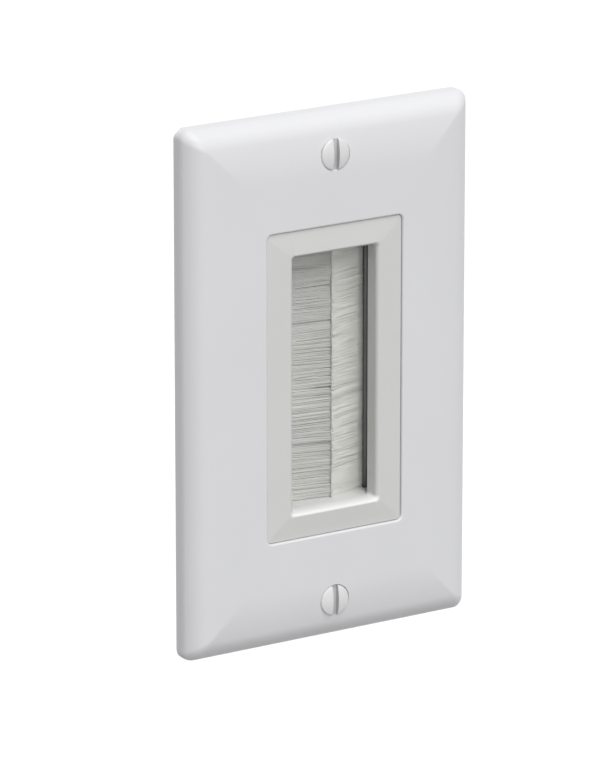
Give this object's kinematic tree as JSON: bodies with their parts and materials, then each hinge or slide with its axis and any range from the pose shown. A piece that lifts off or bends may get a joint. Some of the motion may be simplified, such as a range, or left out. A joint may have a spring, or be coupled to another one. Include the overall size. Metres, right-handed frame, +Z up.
{
  "type": "brush cable grommet",
  "caption": "White single-gang wall plate with a recessed rectangular insert whose tall window is closed by facing rows of nylon bristles, so cables pass through the wall.",
  "frame": {"origin": "midway between the two box screws, in the plane of the wall's surface", "axes": "+X to the right as seen from the room, +Y into the wall, +Z up"},
  "size_m": [0.0698, 0.0266, 0.1142],
  "materials": {
    "plate_plastic": "satin white moulding",
    "insert_plastic": "fine matt white moulding",
    "bristle_nylon": "pale translucent filament",
    "channel_steel": "zinc-plated folded sheet",
    "core_wire_steel": "bright drawn wire",
    "painted_screw": "white painted head",
    "zinc_screw": "bright zinc plating"
  },
  "bodies": {
    "root": {"wall_plate": "plate_plastic", "insert_frame": "insert_plastic", "left_brush_channel": "channel_steel", "right_brush_channel": "channel_steel", "left_core_wire": "core_wire_steel", "right_core_wire": "core_wire_steel", "left_bristles": "bristle_nylon", "right_bristles": "bristle_nylon", "retaining_frame": "insert_plastic", "retainer_screws": "zinc_screw", "plate_screws": "painted_screw", "box_screws": "zinc_screw"}
  },
  "joints": []
}
